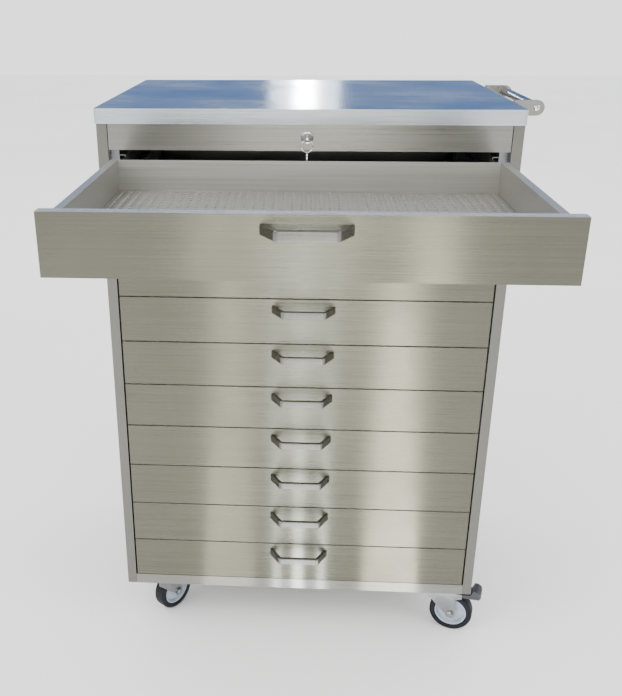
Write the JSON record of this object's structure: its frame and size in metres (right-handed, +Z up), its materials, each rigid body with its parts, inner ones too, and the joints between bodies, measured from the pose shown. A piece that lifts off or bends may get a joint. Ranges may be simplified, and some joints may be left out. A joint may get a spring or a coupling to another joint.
{
  "type": "drawer trolley",
  "caption": "Stainless steel ward trolley with a flat worktop, full-width drawers on ball slides, a side push handle, a cam lock and swivel castors; the top drawer stands open.",
  "frame": {"origin": "centre of the bounding box at floor level, with the top drawer open", "axes": "+Z up, +X to the right seen from the drawer fronts, +Y from the fronts towards the back"},
  "size_m": [0.86, 1.0894, 1.22],
  "materials": {
    "cover_steel": "fine brushed stainless steel worktop, fairly reflective",
    "panel_steel": "brushed stainless steel sheet",
    "front_steel": "horizontally brushed stainless steel, warm grey",
    "slide_steel": "satin steel of trays, runners and slide rails",
    "handle_steel": "satin stainless steel bar and tube",
    "lock_chrome": "bright nickel-plated lock and keys",
    "caster_steel": "pressed stainless castor fittings",
    "tyre_rubber": "dark smooth rubber tyre",
    "pedal_plastic": "dark grey moulded plastic"
  },
  "bodies": {
    "cabinet": {"top_cover": "cover_steel", "left_side_panel": "panel_steel", "right_side_panel": "panel_steel", "back_panel": "panel_steel", "bottom_pan": "panel_steel", "front_fascia": "panel_steel", "left_slide_rack": "slide_steel", "right_slide_rack": "slide_steel", "push_handle_tube": "handle_steel", "push_handle_bracket_front": "handle_steel", "push_handle_bracket_rear": "handle_steel", "lock_body": "lock_chrome", "caster_mount_front_left": "caster_steel", "caster_mount_front_right": "caster_steel", "caster_mount_rear_left": "caster_steel", "caster_mount_rear_right": "caster_steel"},
    "lock_cylinder": {"lock_plug": "lock_chrome", "lock_key": "lock_chrome"},
    "drawer_01": {"drawer_01_front": "front_steel", "drawer_01_tray": "slide_steel", "drawer_01_handle": "handle_steel", "drawer_01_liner": "slide_steel"},
    "drawer_02": {"drawer_02_front": "front_steel", "drawer_02_tray": "slide_steel", "drawer_02_handle": "handle_steel"},
    "drawer_03": {"drawer_03_front": "front_steel", "drawer_03_tray": "slide_steel", "drawer_03_handle": "handle_steel"},
    "drawer_04": {"drawer_04_front": "front_steel", "drawer_04_tray": "slide_steel", "drawer_04_handle": "handle_steel"},
    "drawer_05": {"drawer_05_front": "front_steel", "drawer_05_tray": "slide_steel", "drawer_05_handle": "handle_steel"},
    "drawer_06": {"drawer_06_front": "front_steel", "drawer_06_tray": "slide_steel", "drawer_06_handle": "handle_steel"},
    "drawer_07": {"drawer_07_front": "front_steel", "drawer_07_tray": "slide_steel", "drawer_07_handle": "handle_steel"},
    "drawer_08": {"drawer_08_front": "front_steel", "drawer_08_tray": "slide_steel", "drawer_08_handle": "handle_steel"},
    "drawer_09": {"drawer_09_front": "front_steel", "drawer_09_tray": "slide_steel", "drawer_09_handle": "handle_steel"},
    "drawer_10": {"drawer_10_front": "front_steel", "drawer_10_tray": "slide_steel", "drawer_10_handle": "handle_steel"},
    "caster_front_left": {"caster_fork_front_left": "caster_steel"},
    "wheel_front_left": {"caster_wheel_front_left": "tyre_rubber"},
    "caster_front_right": {"caster_fork_front_right": "caster_steel"},
    "wheel_front_right": {"caster_wheel_front_right": "tyre_rubber"},
    "pedal_front_right": {"brake_pedal_front_right": "pedal_plastic"},
    "caster_rear_left": {"caster_fork_rear_left": "caster_steel"},
    "wheel_rear_left": {"caster_wheel_rear_left": "tyre_rubber"},
    "caster_rear_right": {"caster_fork_rear_right": "caster_steel"},
    "wheel_rear_right": {"caster_wheel_rear_right": "tyre_rubber"},
    "pedal_rear_right": {"brake_pedal_rear_right": "pedal_plastic"}
  },
  "joints": [
    {"name": "lock_turn", "type": "hinge", "parent": "cabinet", "child": "lock_cylinder", "pos_m": [-0.03, -0.02035, 1.165], "axis": [0, 1, 0], "range_deg": [0, 90]},
    {"name": "drawer_01_slide", "type": "slide", "parent": "cabinet", "child": "drawer_01", "axis": [0, -1, 0], "range_m": [-0.487, 0]},
    {"name": "drawer_02_slide", "type": "slide", "parent": "cabinet", "child": "drawer_02", "axis": [0, -1, 0], "range_m": [0, 0.487]},
    {"name": "drawer_03_slide", "type": "slide", "parent": "cabinet", "child": "drawer_03", "axis": [0, -1, 0], "range_m": [0, 0.487]},
    {"name": "drawer_04_slide", "type": "slide", "parent": "cabinet", "child": "drawer_04", "axis": [0, -1, 0], "range_m": [0, 0.487]},
    {"name": "drawer_05_slide", "type": "slide", "parent": "cabinet", "child": "drawer_05", "axis": [0, -1, 0], "range_m": [0, 0.487]},
    {"name": "drawer_06_slide", "type": "slide", "parent": "cabinet", "child": "drawer_06", "axis": [0, -1, 0], "range_m": [0, 0.487]},
    {"name": "drawer_07_slide", "type": "slide", "parent": "cabinet", "child": "drawer_07", "axis": [0, -1, 0], "range_m": [0, 0.487]},
    {"name": "drawer_08_slide", "type": "slide", "parent": "cabinet", "child": "drawer_08", "axis": [0, -1, 0], "range_m": [0, 0.487]},
    {"name": "drawer_09_slide", "type": "slide", "parent": "cabinet", "child": "drawer_09", "axis": [0, -1, 0], "range_m": [0, 0.487]},
    {"name": "drawer_10_slide", "type": "slide", "parent": "cabinet", "child": "drawer_10", "axis": [0, -1, 0], "range_m": [0, 0.487]},
    {"name": "caster_front_left_swivel", "type": "hinge", "parent": "cabinet", "child": "caster_front_left", "pos_m": [-0.361, 0.04065, 0.12], "axis": [0, 0, 1], "continuous": true},
    {"name": "wheel_front_left_spin", "type": "hinge", "parent": "caster_front_left", "child": "wheel_front_left", "pos_m": [-0.33813, 0.071, 0.04957], "axis": [-0.7986, 0.6018, 0], "continuous": true},
    {"name": "caster_front_right_swivel", "type": "hinge", "parent": "cabinet", "child": "caster_front_right", "pos_m": [0.301, 0.04065, 0.12], "axis": [0, 0, 1], "continuous": true},
    {"name": "wheel_front_right_spin", "type": "hinge", "parent": "caster_front_right", "child": "wheel_front_right", "pos_m": [0.33734, 0.02954, 0.04957], "axis": [0.2924, 0.9563, 0], "continuous": true},
    {"name": "brake_front_right_press", "type": "hinge", "parent": "caster_front_right", "child": "pedal_front_right", "pos_m": [0.35455, 0.02428, 0.1035], "axis": [0.2924, 0.9563, 0], "range_deg": [0, 12]},
    {"name": "caster_rear_left_swivel", "type": "hinge", "parent": "cabinet", "child": "caster_rear_left", "pos_m": [-0.361, 0.47865, 0.12], "axis": [0, 0, 1], "continuous": true},
    {"name": "wheel_rear_left_spin", "type": "hinge", "parent": "caster_rear_left", "child": "wheel_rear_left", "pos_m": [-0.32529, 0.49165, 0.04957], "axis": [-0.342, 0.9397, 0], "continuous": true},
    {"name": "caster_rear_right_swivel", "type": "hinge", "parent": "cabinet", "child": "caster_rear_right", "pos_m": [0.301, 0.47865, 0.12], "axis": [0, 0, 1], "continuous": true},
    {"name": "wheel_rear_right_spin", "type": "hinge", "parent": "caster_rear_right", "child": "wheel_rear_right", "pos_m": [0.33863, 0.47336, 0.04957], "axis": [0.1392, 0.9903, 0], "continuous": true},
    {"name": "brake_rear_right_press", "type": "hinge", "parent": "caster_rear_right", "child": "pedal_rear_right", "pos_m": [0.35646, 0.47086, 0.1035], "axis": [0.1392, 0.9903, 0], "range_deg": [0, 12]}
  ]
}
